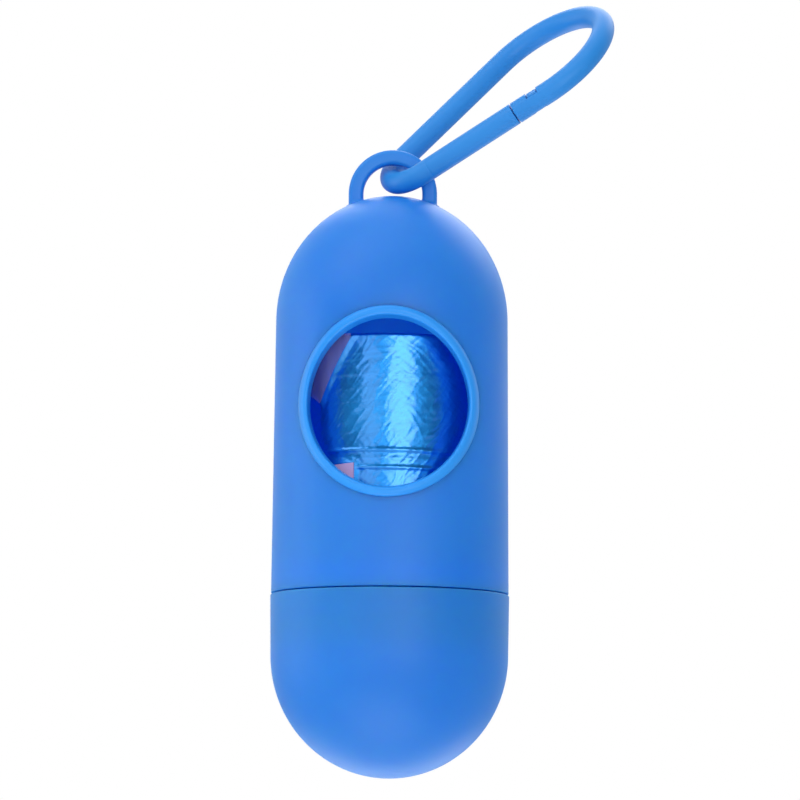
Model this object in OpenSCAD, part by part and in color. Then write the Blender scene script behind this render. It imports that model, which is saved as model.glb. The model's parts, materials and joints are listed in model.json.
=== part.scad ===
// Dog waste bag dispenser: a domed capsule with a window, a screw cap,
// a roll of film bags inside and a plastic carabiner in the eye on its top.
// Millimetres. Each piece is modelled about the capsule's own axis, with z = 0
// at the lowest point of the cap, and is drawn with the centre of the
// carabiner's wide end at the origin, which is where the object hangs.

/* [Bag roll] */
// Outside diameter of the wound bags
roll_d = 29.2; // [20:0.1:45]
// Width of the folded film, which is the height of the standing roll
roll_len = 57; // [35:0.5:90]
// Thickness of one folded turn of film
film_lap = 0.4; // [0.1:0.05:1]
// Turn from the front of the roll to the film's free edge
film_end_turn = 47; // [30:1:90]
// Outside diameter of the cardboard core
core_d = 13; // [8:0.1:18]
// Wall of the cardboard core
core_wall = 0.8; // [0.4:0.1:1.5]
// Gap between the core and the film wound on it
core_gap = 0.05; // [0.02:0.01:0.2]

/* [Capsule] */
// Space round the roll inside the neck
roll_clear = 0.7; // [0.3:0.1:5]
// Wall of the neck
neck_wall = 1.3; // [0.8:0.1:3]
// Height of the neck below the seam
neck_h = 6.8; // [4:0.1:9]
// Space between the neck and the cap's skirt, where the thread runs
thread_gap = 0.7; // [0.3:0.05:1.5]
// Wall of the cap's skirt
skirt_wall = 1.25; // [0.9:0.05:3]
// Height of the cap's straight skirt, from the dome up to the seam
skirt_h = 9.35; // [9:0.05:16]
// Height of the cap's domed base
base_dome_h = 19.05; // [15:0.05:30]
// Wall of the cap's domed base
cap_wall = 1.6; // [1:0.1:3]
// How much narrower than its seam the cap is where its dome starts
cap_draft = 0.1; // [0:0.05:0.5]
// Open line between the cap and the body
seam_gap = 0.2; // [0.1:0.05:0.5]
// How far the cap stands out from the body at the seam
seam_step = 0.1; // [0:0.05:0.3]
// Bevel on both sides of the seam
seam_bevel = 0.2; // [0.05:0.05:0.4]
// How much narrower than its seam the body is where its dome starts
body_draft = 0.4; // [0:0.05:1]
// Wall of the body and its dome
wall = 1.5; // [1:0.1:3]
// Height of the body's domed top
top_dome_h = 19.7; // [15:0.05:30]
// Free height from the roll up to the foot of the domed top
head_clear = 3.3; // [1:0.1:12]
// Gap under the roll where its lower rim stands in the cap's dome
seat_gap = 0.5; // [0.2:0.1:1]

/* [Window] */
// Width of the window over its rim
window_w = 27.9; // [18:0.1:30]
// Height of the window over its rim
window_h = 29.5; // [18:0.1:34]
// Distance from the foot of the domed top down to the window's centre
window_drop = 14.2; // [8:0.1:20]
// Width of the ring's rounded rim
rim_w = 1.5; // [1.2:0.1:3]
// How much the ring's opening narrows towards its back, on each side
rim_draft = 0.3; // [0:0.05:0.5]
// How far the rim stands proud of the body
rim_rise = 0.8; // [0.3:0.1:2]
// Reach of the lip that snaps behind the wall
rim_lip = 0.35; // [0.2:0.05:0.6]
// Gap between the ring and the wall it is pressed into
rim_gap = 0.08; // [0.02:0.01:0.1]

/* [Eye] */
// Radius of the eye's opening
eye_hole_r = 4.6; // [3:0.1:6]
// Thickness of the eye's arch, across the capsule
eye_band = 2.3; // [1.5:0.1:3.5]
// Depth of the eye, front to back
eye_depth = 2.4; // [2:0.1:4]
// Radius on the eye's long edges
eye_edge_r = 0.8; // [0.2:0.1:0.9]

/* [Carabiner] */
// Diameter of the rod
rod_d = 3.5; // [2.5:0.1:4.5]
// How much slimmer the straight limbs are than the bends, on the radius
limb_slim = 0.04; // [0.03:0.01:0.1]
// Radius of the small bend, to the middle of the rod
small_bend_r = 5.3; // [4:0.1:7]
// Radius of the wide bend, to the middle of the rod
wide_bend_r = 11.7; // [8:0.1:15]
// Angle between each straight limb and the carabiner's length
limb_angle = 15.3; // [10:0.1:17]
// Gap between the rod in the eye and the dome below it
rod_gap = 0.65; // [0.2:0.05:1]
// Gap between the rod and the top of the eye
hang_gap = 0.85; // [0.2:0.05:1.5]
// Turn of the carabiner about its own length
clip_roll = 26.2; // [0:0.1:40]
// Rise of the carabiner's length above level
clip_rise = 39.1; // [20:0.1:60]
// Turn of the carabiner's length towards the back
clip_yaw = 3; // [-10:0.1:15]

/* [Gate] */
// Distance from the gate's root to where its limb leaves the small bend
gate_root = 4.2; // [3:0.1:6]
// Distance from the gate's root to its shoulder
gate_len = 13.3; // [8:0.1:16]
// Gap at the gate's root
root_gap = 0.12; // [0.05:0.01:0.2]
// Gap at the gate's shoulder
shoulder_gap = 0.25; // [0.2:0.05:0.6]
// Thickness of the tongue
tongue_t = 1.2; // [0.6:0.1:1.6]
// Length of the tongue, from the shoulder to the head
tongue_len = 2.9; // [2:0.1:4]
// Length of the T-shaped head along the limb
head_len = 1.6; // [1:0.1:2]
// Width of the T-shaped head across the rod
head_w = 3; // [2.2:0.1:3.3]
// Gap round the tongue and the head in the nose
latch_gap = 0.2; // [0.1:0.05:0.3]
// Height of the pocket's floor above the middle of the rod
pocket_floor = -1; // [-1.1:0.05:0.5]
// Depth of the tongue's slot below the middle of the rod
slot_floor = 1; // [0.2:0.1:1.1]

/* [Label and tape] */
// Thickness of the paper label and of the tape
label_t = 0.12; // [0.08:0.01:0.3]
// Gap between the label or tape and the film
label_gap = 0.04; // [0.02:0.01:0.1]
// Width of the paper label round the roll
label_w = 24; // [15:0.5:30]
// Height of the paper label
label_h = 20; // [12:0.5:24]
// Turn from the front of the roll to the label's near edge
label_turn = 21; // [10:1:60]
// Distance from the roll's top down to the label's near top corner
label_drop = 20; // [15:0.1:24]
// Slope of the label's top and bottom edges at the near corner
label_lean = 4; // [0:0.5:10]
// Length of the tape's sides
tape_size = 12; // [8:0.5:14]
// Turn from the front of the roll to the tape's middle
tape_turn = 56; // [50:1:90]
// Distance from the roll's top, where the tape is trimmed, down to its middle
tape_drop = 2.3; // [0:0.1:9]
// Lean of the tape
tape_lean = 29; // [0:1:45]

/* [Hidden] */
$fn = 96;
dome_steps = 24;
rim_rings = 72;
rim_arc_steps = 8;
film_steps = 120;
past = 1; // how far a cut runs past a face

blue = [0.20, 0.47, 0.87];
rim_blue = [0.25, 0.61, 0.94];
film_blue = [0.10, 0.45, 0.85];

// Radii, from the roll outwards
roll_r = roll_d / 2;
neck_bore_r = roll_r + roll_clear;
neck_r = neck_bore_r + neck_wall;
skirt_bore_r = neck_r + thread_gap;
cap_r = skirt_bore_r + skirt_wall;
cap_dome_r = cap_r - cap_draft;
body_seam_r = cap_r - seam_step;
body_dome_r = body_seam_r - body_draft;

// Heights, from the cap upwards
seam_z = base_dome_h + skirt_h;
body_z = seam_z + seam_gap;
cap_inner_r = cap_dome_r - cap_wall;
cap_inner_h = base_dome_h - cap_wall;
roll_z = base_dome_h - cap_inner_h * sqrt(1 - pow(roll_r / cap_inner_r, 2)) + seat_gap;
roll_top_z = roll_z + roll_len;
shoulder_z = roll_top_z + head_clear;
capsule_top_z = shoulder_z + top_dome_h;
window_z = shoulder_z - window_drop;
hole_half_w = (window_w - rim_w) / 2;
hole_half_h = (window_h - rim_w) / 2;

// Eye, and the rod that hangs in it
rod_r = rod_d / 2;
limb_r = rod_r - limb_slim;
limb_seat = 0.4; // how far a limb's end runs into its bend
rod_z = capsule_top_z + rod_gap + rod_r;
eye_z = rod_z + rod_r + hang_gap - eye_hole_r;
eye_mid_r = eye_hole_r + eye_band / 2;
eye_foot_z = dome_z(eye_mid_r) - 0.6 * wall;

// Carabiner: x along its length, y towards its spine, z across its plane
bend_span = (wide_bend_r - small_bend_r) / sin(limb_angle);
limb_len = bend_span * cos(limb_angle);
clip_turn = [clip_roll, -clip_rise, clip_yaw];
clip_way = [cos(clip_rise) * cos(clip_yaw), cos(clip_rise) * sin(clip_yaw), sin(clip_rise)];
small_centre = [0, 0, rod_z] + small_bend_r * clip_way;
wide_centre = small_centre + bend_span * clip_way;

// Latch, measured from the gate's root
tongue_end = gate_len + tongue_len;
head_end = tongue_end + head_len;

// Height of the outside of the domed top at a distance from the axis
function dome_z(r) = shoulder_z + top_dome_h * sqrt(1 - pow(r / body_dome_r, 2));

// Outside radius of the body at a height between the seam and its dome
function body_r(z) = body_seam_r - body_draft * (z - body_z) / (shoulder_z - body_z);

// Quarter of an ellipse about (0, z), from the side (angle 0) to the pole (angle 90)
function quarter(r, h, z, from = 0, to = 90) =
    [for (i = [0 : dome_steps]) let (a = from + (to - from) * i / dome_steps) [r * cos(a), z + h * sin(a)]];

function unit(v) = v / norm(v);

// ---- Body ----

module body_shell() {
    color(blue) {
        difference() {
            rotate_extrude() body_profile();
            window_cut();
        }
        eye();
    }
}

module body_profile() {
    flare_z = body_z + 2.4;
    tube_z = flare_z + body_seam_r - wall - neck_bore_r;
    polygon(concat(
        [
            [neck_bore_r, body_z - neck_h],
            [neck_r - seam_bevel, body_z - neck_h],
            [neck_r, body_z - neck_h + seam_bevel],
            [neck_r, body_z],
            [body_seam_r - seam_bevel, body_z],
            [body_seam_r, body_z + seam_bevel]
        ],
        quarter(body_dome_r, top_dome_h, shoulder_z),
        quarter(body_dome_r - wall, top_dome_h - wall, shoulder_z, 90, 0),
        [
            [body_r(tube_z) - wall, tube_z],
            [neck_bore_r, flare_z]
        ]
    ));
}

// The opening through the wall, cut straight back
module window_cut() {
    translate([0, -body_seam_r / 2, window_z])
        rotate([90, 0, 0])
            linear_extrude(height = body_seam_r)
                scale([hole_half_w, hole_half_h]) circle(r = 1);
}

// ---- Window ring ----

// The ring pressed into the window: a rounded rim that follows the body's
// curve, a neck through the wall and a small lip behind it
module window_rim() {
    arc = [for (i = [0 : rim_arc_steps]) let (a = 180 * i / rim_arc_steps)
        [rim_w / 2 * cos(a), rim_gap + (rim_rise - rim_gap) * sin(a)]];
    neck = [
        [-rim_w / 2 - rim_draft, -wall - rim_lip],
        [-rim_gap, -wall - 2 * rim_lip],
        [rim_lip, -wall - rim_lip],
        [rim_lip, -wall - rim_gap],
        [-rim_gap, -wall - rim_gap],
        [-rim_gap, rim_gap]
    ];
    section = concat(arc, neck);
    count = len(section);
    points = [for (i = [0 : rim_rings - 1]) for (p = section) rim_point(360 * i / rim_rings, p)];
    faces = [for (i = [0 : rim_rings - 1]) for (j = [0 : count - 1])
        let (
            next_i = (i + 1) % rim_rings,
            next_j = (j + 1) % count,
            a = i * count + j,
            b = i * count + next_j,
            c = next_i * count + next_j,
            d = next_i * count + j
        )
        each [[a, b, c], [a, c, d]]];
    color(rim_blue) polyhedron(points, faces);
}

// A point of the ring's section at an angle round the window: p[0] goes away
// from the window's middle as seen from the front, and p[1] out of the body
function rim_point(angle, p) =
    let (
        away = unit([hole_half_h * cos(angle), hole_half_w * sin(angle)]),
        x = hole_half_w * cos(angle) + p[0] * away[0],
        z = window_z + hole_half_h * sin(angle) + p[0] * away[1],
        r = body_r(z) + p[1]
    )
    [x, -sqrt(r * r - x * x), z];

// ---- Eye ----

// The arch moulded on the dome, with its opening facing the front
module eye() {
    translate([0, 0, eye_z]) {
        rotate([90, 0, 0]) rotate_extrude(angle = 180) translate([eye_mid_r, 0]) eye_section();
        for (side = [-1, 1])
            translate([side * eye_mid_r, 0, eye_foot_z - eye_z])
                linear_extrude(height = eye_z - eye_foot_z) eye_section();
    }
}

module eye_section() {
    across = eye_band / 2 - eye_edge_r;
    deep = eye_depth / 2 - eye_edge_r;
    polygon([for (corner = [[1, 1, 0], [-1, 1, 90], [-1, -1, 180], [1, -1, 270]])
        for (i = [0 : 4]) let (a = corner[2] + 22.5 * i)
            [corner[0] * across + eye_edge_r * cos(a), corner[1] * deep + eye_edge_r * sin(a)]]);
}

// ---- Cap ----

module bottom_cap() {
    lip_z = body_z - neck_h - 0.6;
    color(blue)
        rotate_extrude()
            polygon(concat(
                quarter(cap_dome_r, base_dome_h, base_dome_h, 270, 360),
                [
                    [cap_r, seam_z - seam_bevel],
                    [cap_r - seam_bevel, seam_z],
                    [skirt_bore_r + seam_bevel, seam_z],
                    [skirt_bore_r, seam_z - seam_bevel],
                    [skirt_bore_r, lip_z]
                ],
                quarter(cap_inner_r, cap_inner_h, base_dome_h, 360, 270)
            ));
}

// ---- Carabiner ----

// Puts a piece from the carabiner's own axes into its place in the eye
module clip_place() {
    translate(small_centre) rotate(clip_turn) children();
}

// The gate's limb: x from its root to the nose, y into the loop, z across
module gate_place() {
    rotate([0, 0, -limb_angle])
        translate([gate_root, -small_bend_r, 0])
            children();
}

module limb(from, to) {
    translate([from, 0, 0]) rotate([0, 90, 0]) cylinder(h = to - from, r = limb_r);
}

module bend(radius, from, sweep) {
    rotate([0, 0, from]) rotate_extrude(angle = sweep) translate([radius, 0]) circle(r = rod_r);
}

// The whole loop, before the gate is parted from it
module loop() {
    translate([bend_span, 0, 0]) bend(wide_bend_r, -90 - limb_angle, 180 + 2 * limb_angle);
    bend(small_bend_r, 90 + limb_angle, 180 - 2 * limb_angle);
    rotate([0, 0, limb_angle]) translate([0, small_bend_r, 0]) limb(-limb_seat, limb_len + limb_seat);
    rotate([0, 0, -limb_angle]) translate([0, -small_bend_r, 0]) limb(-limb_seat, limb_len + limb_seat);
}

module carabiner_frame() {
    color(blue)
        clip_place()
            difference() {
                loop();
                gate_place() {
                    gate_space();
                    latch_space();
                }
            }
}

// The gap in the front limb that the gate fills, hollow where its root sits
module gate_space() {
    cylinder(h = 2 * rod_d, r = limb_r + root_gap, center = true);
    translate([0, -rod_d, -rod_d]) cube([gate_len, 2 * rod_d, 2 * rod_d]);
}

// The slot and the pocket in the nose, open to the inside of the loop
module latch_space() {
    slot_w = tongue_t + 2 * latch_gap;
    translate([gate_len - past, -slot_floor, -slot_w / 2])
        cube([past + tongue_len + latch_gap, 2 * rod_d, slot_w]);
    translate([tongue_end - latch_gap, pocket_floor, -rod_d])
        cube([head_len + 2 * latch_gap, 2 * rod_d, 2 * rod_d]);
}

module carabiner_gate() {
    color(blue)
        clip_place() gate_place() {
            intersection() {
                limb(-rod_d, gate_len - shoulder_gap);
                union() {
                    cylinder(h = 2 * rod_d, r = limb_r, center = true);
                    translate([0, -rod_d, -rod_d]) cube([gate_len, 2 * rod_d, 2 * rod_d]);
                }
            }
            tongue();
        }
}

// Flat tongue with a cross-piece, cut to the rod's round section
module tongue() {
    intersection() {
        limb(gate_len - shoulder_gap - past, head_end);
        union() {
            translate([gate_len - shoulder_gap - past, latch_gap - slot_floor, -tongue_t / 2])
                cube([past + shoulder_gap + tongue_len, 2 * rod_d, tongue_t]);
            translate([tongue_end, pocket_floor + latch_gap, -head_w / 2])
                cube([head_len, 2 * rod_d, head_w]);
        }
    }
}

// ---- Bag roll ----

module roll_core() {
    color("tan")
        translate([0, 0, roll_z])
            difference() {
                cylinder(h = roll_len, d = core_d);
                translate([0, 0, -past]) cylinder(h = roll_len + 2 * past, d = core_d - 2 * core_wall);
            }
}

// The film's outline is a spiral that ends in a step at its free edge
module bag_roll() {
    edge_turn = 270 - film_end_turn;
    color(film_blue)
        translate([0, 0, roll_z])
            difference() {
                linear_extrude(height = roll_len)
                    polygon([for (i = [0 : film_steps]) let (t = i / film_steps, a = edge_turn + 360 * t)
                        (roll_r - film_lap * t) * [cos(a), sin(a)]]);
                translate([0, 0, -past]) cylinder(h = roll_len + 2 * past, d = core_d + 2 * core_gap);
            }
}

// Thin strip that goes part of the way round the roll, over its whole height
module roll_strip(from, sweep) {
    rotate([0, 0, from])
        rotate_extrude(angle = sweep)
            translate([roll_r + label_gap, roll_z]) square([label_t, roll_len]);
}

// Square of tape, cut from a strip that is wider than its corners
module tail_tape() {
    color([0.75, 0.75, 0.85, 0.5])
        intersection() {
            roll_strip(180 - tape_turn, 180);
            rotate([0, 0, -tape_turn])
                translate([0, -roll_r / 2, roll_top_z - tape_drop])
                    rotate([90, tape_lean, 0])
                        translate([-tape_size / 2, -tape_size / 2, 0])
                            cube([tape_size, tape_size, roll_r]);
        }
}

// Strip with upright ends, cut top and bottom by a slab that leans at its near corner
module paper_label() {
    sweep = label_w / roll_r * 180 / PI;
    color([0.90, 0.72, 0.76])
        intersection() {
            roll_strip(270 - label_turn - sweep, sweep);
            rotate([0, 0, -label_turn])
                translate([0, 0, roll_top_z - label_drop])
                    rotate([0, -label_lean, 0])
                        translate([-roll_d, -roll_d, -label_h])
                            cube([2 * roll_d, 2 * roll_d, label_h]);
        }
}

// Hangs the object by the centre of the carabiner's wide end
module hang() {
    translate(-wide_centre) children();
}

hang() body_shell();
hang() window_rim();
hang() bottom_cap();
hang() carabiner_frame();
hang() carabiner_gate();
hang() roll_core();
hang() bag_roll();
hang() tail_tape();
hang() paper_label();
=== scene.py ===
"""Looks of the dog waste bag dispenser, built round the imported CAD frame.

Lengths are millimetres about the capsule's own axis, with z = 0 at the lowest
point of the cap, as in the CAD source. rows() turns them into the row frame.
"""

import json
import math

import bmesh
import bpy
import numpy as np
from mathutils import Matrix, Vector


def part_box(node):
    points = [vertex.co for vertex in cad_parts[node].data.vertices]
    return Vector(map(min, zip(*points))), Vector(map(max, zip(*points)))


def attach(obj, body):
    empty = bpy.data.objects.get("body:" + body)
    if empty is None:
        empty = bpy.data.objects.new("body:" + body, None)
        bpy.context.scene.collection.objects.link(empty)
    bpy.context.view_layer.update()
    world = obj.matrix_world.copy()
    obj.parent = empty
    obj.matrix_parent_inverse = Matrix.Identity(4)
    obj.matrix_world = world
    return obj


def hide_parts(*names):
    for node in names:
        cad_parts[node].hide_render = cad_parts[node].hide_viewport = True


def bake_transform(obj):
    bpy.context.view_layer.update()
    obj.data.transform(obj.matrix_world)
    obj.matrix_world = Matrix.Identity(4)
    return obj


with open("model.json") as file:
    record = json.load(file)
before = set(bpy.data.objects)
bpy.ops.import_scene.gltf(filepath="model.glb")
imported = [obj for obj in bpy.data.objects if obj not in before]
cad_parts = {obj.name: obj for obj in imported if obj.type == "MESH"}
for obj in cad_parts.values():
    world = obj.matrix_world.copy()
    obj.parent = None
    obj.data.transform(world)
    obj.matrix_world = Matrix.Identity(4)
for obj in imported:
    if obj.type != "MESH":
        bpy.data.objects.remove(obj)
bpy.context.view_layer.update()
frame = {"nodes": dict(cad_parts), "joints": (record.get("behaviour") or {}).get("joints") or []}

MM = 0.001

# ---- Sizes, in millimetres ----

# Capsule, as in the CAD source
CAP_R, CAP_DOME_R, CAP_DOME_H, CAP_WALL = 18.55, 18.45, 19.05, 1.6
SKIRT_BORE_R, SKIRT_FOOT_Z = 17.3, 21.2
NECK_R, NECK_BORE_R, NECK_H = 16.6, 15.3, 6.8
BODY_SEAM_R, BODY_DOME_R, BODY_DOME_H, BODY_WALL = 18.45, 18.05, 19.7, 1.5
FLARE_RISE = 2.4
SEAM_ROUND = 0.2
EDGE_ROUND = 0.15

# Thread between the neck and the cap: its ridges are sunk a little into the wall, start above
# the foot of neck or skirt and end below the seam
THREAD_LEAD, THREAD_STARTS, THREAD_H, THREAD_W = 6.0, 2, 0.42, 1.1
THREAD_SUNK, THREAD_FROM_FOOT, THREAD_FROM_SEAM = 0.15, 0.9, 1.1
THREAD_STEPS, THREAD_RUN_OUT = 120, 8  # rings in a turn, and in each tapered end

# Window ring
RIM_W, RIM_DRAFT, RIM_RISE, RIM_LIP, RIM_GAP = 1.5, 0.3, 0.8, 0.35, 0.08

# Eye
EYE_HOLE_R, EYE_BAND, EYE_DEPTH, EYE_EDGE_R, EYE_FOOT_R = 4.6, 2.3, 2.4, 0.65, 0.4
EYE_SUNK = 0.9  # how deep its feet stand in the dome
ROD_GAP, HANG_GAP = 0.65, 0.85

# Carabiner
ROD_R, SMALL_R, WIDE_R, LIMB_ANGLE = 1.75, 5.3, 11.7, 15.3
GATE_ROOT, GATE_LEN, SHOULDER_GAP = 4.2, 13.3, 0.25
TONGUE_T, TONGUE_LEN, HEAD_LEN, HEAD_W, LATCH_GAP = 1.2, 2.9, 1.6, 3.0, 0.2
LATCH_FLOOR = 1.0
HINGE_REACH = 2.8  # from the gate's root to each end of the stretch that bends
ROOT_HOLD = 0.3  # stretch of the gate's end that stays with the frame
TONGUE_INSET = 0.15  # how much slimmer than the rod the tongue and its head are, on the radius
ROD_SIDES, GATE_STEP = 64, 0.3
PARTING, PARTING_POWER = 0.012, 80  # height of the mould's parting line, and how narrow it is
LATCH_BEVEL = 0.12
PAST = 1  # how far a cut runs past a face

# Roll, label and tape
ROLL_R, CORE_R, FILM_LAP, FILM_END_TURN = 14.6, 6.55, 0.4, 47.0
SHEET_T, SHEET_GAP = 0.12, 0.04
LABEL_W, LABEL_H, LABEL_TURN, LABEL_DROP, LABEL_LEAN = 24.0, 20.0, 21.0, 20.0, 4.0
TAPE_SIZE, TAPE_TURN, TAPE_DROP, TAPE_LEAN = 12.0, 56.0, 2.3, 29.0
# Level folds of the film: height above the capsule's zero, and depth
FILM_FOLDS = ((49.7, 0.15), (48.4, 0.05), (47.0, 0.14), (61.4, 0.03), (35.5, 0.08), (24.0, 0.07))
END_EDGE_H, END_EDGE_IN = 0.5, 0.25  # rounded edge of the roll's ends
END_INSET = 1.1  # from the film's outside to the first turn that its ends show
TURN_DEPTH, TURN_LAPS = 0.10, 1.6  # depth of those turns, and laps between them

# ---- Places, from the frame ----

cap_low, cap_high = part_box("bottom_cap")
shell_low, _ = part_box("body_shell")
ring_low, ring_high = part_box("window_rim")
roll_low, roll_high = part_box("roll_core")

AXIS = Vector(((cap_low.x + cap_high.x) / 2, (cap_low.y + cap_high.y) / 2, cap_low.z)) / MM
SEAM_Z = cap_high.z / MM - AXIS.z
NECK_Z = shell_low.z / MM - AXIS.z
BODY_Z = NECK_Z + NECK_H
ROLL_Z = roll_low.z / MM - AXIS.z
ROLL_TOP = roll_high.z / MM - AXIS.z
LABEL_TOP = ROLL_TOP - LABEL_DROP
LABEL_END = LABEL_TURN + math.degrees(LABEL_W / ROLL_R)
WINDOW_Z = (ring_low.z + ring_high.z) / 2 / MM - AXIS.z
HOLE_HALF_W = (ring_high.x - ring_low.x) / 2 / MM - RIM_W / 2
HOLE_HALF_H = (ring_high.z - ring_low.z) / 2 / MM - RIM_W / 2

joints = {j["name"]: j for j in frame["joints"]}
ROD_CENTRE = Vector(joints["swing"]["pos_m"]) / MM - AXIS
EYE_Z = ROD_CENTRE.z + ROD_R + HANG_GAP - EYE_HOLE_R
EYE_MID_R = EYE_HOLE_R + EYE_BAND / 2
CAPSULE_TOP = ROD_CENTRE.z - ROD_R - ROD_GAP
SHOULDER_Z = CAPSULE_TOP - BODY_DOME_H

# The carabiner's own axes: LENGTH to its wide end, SPINE to its spine, ACROSS its plane
WIDE_CENTRE = -AXIS
LENGTH = (WIDE_CENTRE - ROD_CENTRE).normalized()
ACROSS = Vector(joints["gate_open"]["axis"]).normalized()
SPINE = ACROSS.cross(LENGTH).normalized()
SMALL_CENTRE = ROD_CENTRE + SMALL_R * LENGTH
BEND_SPAN = (WIDE_R - SMALL_R) / math.sin(math.radians(LIMB_ANGLE))
LIMB_LEN = BEND_SPAN * math.cos(math.radians(LIMB_ANGLE))


def rows(points):
    """Points in capsule millimetres, as an array in the row frame in metres."""
    return (np.asarray(points, float) + np.array(AXIS)) * MM


def clip_points(points):
    """Points in the carabiner's own millimetres, in capsule millimetres."""
    p = np.asarray(points, float)
    turn = np.array([LENGTH, SPINE, ACROSS])
    return p @ turn + np.array(SMALL_CENTRE)


def dome_z(r):
    """Height of the outside of the domed top at a distance from the axis."""
    return SHOULDER_Z + BODY_DOME_H * np.sqrt(np.clip(1 - (r / BODY_DOME_R) ** 2, 0, 1))


def body_r(z):
    """Outside radius of the body between the seam and the dome."""
    return BODY_SEAM_R - (BODY_SEAM_R - BODY_DOME_R) * (z - BODY_Z) / (SHOULDER_Z - BODY_Z)


# ---- Mesh helpers ----


def grid_faces(rings, count, closed_rings=False, closed_count=True):
    """Quads between neighbouring rings of count points each."""
    faces = []
    for i in range(rings if closed_rings else rings - 1):
        for j in range(count if closed_count else count - 1):
            a, b = i * count + j, i * count + (j + 1) % count
            after = ((i + 1) % rings) * count
            faces.append((a, b, after + (j + 1) % count, after + j))
    return faces


def swept(rings, closed=False):
    """A tube through rings of points, with flat ends unless it is closed."""
    rings = np.asarray(rings, float)
    n, m = rings.shape[:2]
    faces = grid_faces(n, m, closed_rings=closed)
    if not closed:
        faces += [tuple(range(m - 1, -1, -1)), tuple(range((n - 1) * m, n * m))]
    return rings.reshape(-1, 3), faces


def revolved(outline, steps=256):
    """A body turned from an outline of (r, z), whose two ends are on the axis."""
    outline = np.asarray(outline, float)
    turn = np.linspace(0, 2 * math.pi, steps, endpoint=False)
    ring = np.stack([np.cos(turn), np.sin(turn)], 1)
    middle = outline[1:-1]
    points = [np.column_stack([r * ring, np.full(steps, z)]) for r, z in middle]
    points = np.concatenate([*points, [[0, 0, outline[0][1]], [0, 0, outline[-1][1]]]])
    faces = grid_faces(len(middle), steps)
    first, last = len(points) - 2, len(points) - 1
    tail = (len(middle) - 1) * steps
    for j in range(steps):
        k = (j + 1) % steps
        faces.append((first, k, j))
        faces.append((last, tail + j, tail + k))
    return points, faces


def joined(*parts):
    """Several (points, faces) as one."""
    points, faces, count = [], [], 0
    for p, f in parts:
        points.append(np.asarray(p, float))
        faces += [tuple(i + count for i in face) for face in f]
        count += len(p)
    return np.concatenate(points), faces


def quarter(a, h, z, start, end, steps=64):
    """Stretch of an ellipse about (0, z), between two angles in degrees."""
    turn = np.radians(np.linspace(start, end, steps + 1))
    return [(a * math.cos(t), z + h * math.sin(t)) for t in turn]


def rounded(points, steps=6):
    """An outline whose points are (x, y) or (x, y, radius), with those corners rounded."""
    out = []
    for i, p in enumerate(points):
        if len(p) == 2 or i in (0, len(points) - 1):
            out.append((p[0], p[1]))
            continue
        here = Vector(p[:2])
        back = Vector(points[i - 1][:2]) - here
        on = Vector(points[i + 1][:2]) - here
        half = back.angle(on) / 2
        reach = min(p[2] / math.tan(half), back.length * 0.45, on.length * 0.45)
        a, b = here + back.normalized() * reach, here + on.normalized() * reach
        for k in range(steps + 1):
            t = k / steps
            q = (1 - t) ** 2 * a + 2 * t * (1 - t) * here + t * t * b
            out.append((q.x, q.y))
    return out


def piece(name, shape, material, sharp=35):
    """A Blender object of (points, faces) in capsule millimetres."""
    points, faces = shape
    mesh = bpy.data.meshes.new(name)
    mesh.from_pydata(rows(points).tolist(), [], faces)
    mesh.validate()
    obj = bpy.data.objects.new(name, mesh)
    bpy.context.scene.collection.objects.link(obj)
    finish_mesh(obj, sharp)
    mesh.materials.append(material)
    return obj


def finish_mesh(obj, sharp=35):
    """Outward normals, and smooth shading up to a sharp angle."""
    bm = bmesh.new()
    bm.from_mesh(obj.data)
    bmesh.ops.recalc_face_normals(bm, faces=bm.faces)
    bm.to_mesh(obj.data)
    bm.free()
    obj.data.shade_smooth()
    obj.data.set_sharp_from_angle(angle=math.radians(sharp))


def cut(obj, shape, operation="DIFFERENCE"):
    """Cuts obj with (points, faces), or joins it to them."""
    points, faces = shape
    mesh = bpy.data.meshes.new("tool")
    mesh.from_pydata(rows(points).tolist(), [], faces)
    tool = bpy.data.objects.new("tool", mesh)
    bpy.context.scene.collection.objects.link(tool)
    finish_mesh(tool)
    change = obj.modifiers.new("cut", "BOOLEAN")
    change.object, change.operation, change.solver = tool, operation, "EXACT"
    bake_modifiers(obj)
    bpy.data.objects.remove(tool)
    bpy.data.meshes.remove(mesh)


def bake_modifiers(obj):
    """Puts what the modifiers make into the mesh."""
    depsgraph = bpy.context.evaluated_depsgraph_get()
    baked = bpy.data.meshes.new_from_object(obj.evaluated_get(depsgraph))
    obj.modifiers.clear()
    old = obj.data
    obj.data = baked
    bpy.data.meshes.remove(old)


# ---- Noise, for the film ----


def value_noise(x, y, seed):
    """Smooth noise from 0 to 1 on a unit lattice, the same on each run."""
    table = np.random.RandomState(seed).rand(128, 128)
    xi, yi = np.floor(x).astype(int), np.floor(y).astype(int)
    fx, fy = x - xi, y - yi
    sx, sy = fx * fx * (3 - 2 * fx), fy * fy * (3 - 2 * fy)
    low = table[xi % 128, yi % 128] * (1 - sx) + table[(xi + 1) % 128, yi % 128] * sx
    high = table[xi % 128, (yi + 1) % 128] * (1 - sx) + table[(xi + 1) % 128, (yi + 1) % 128] * sx
    return low * (1 - sy) + high * sy


def creases(x, y, angle, length, width, seed):
    """Ridged noise of long strokes that lie at an angle to the x axis, from 0 to 1."""
    a = math.radians(angle)
    bent = 1.6 * value_noise(x / 7, y / 7, seed + 1) + 0.6 * value_noise(x / 2.5, y / 2.5, seed + 2)
    along = x * math.cos(a) + y * math.sin(a)
    over = -x * math.sin(a) + y * math.cos(a) + bent
    n = value_noise(along / length, over / width, seed)
    return 1 - np.abs(2 * n - 1)


# ---- Materials ----

GRAIN_SCALE = 2600  # of the moulded plastic
GLOW_RADIUS, GLOW_SCALE = (0.6, 0.8, 1.0), 0.006  # how far light goes in the plastic that lets it through


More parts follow.
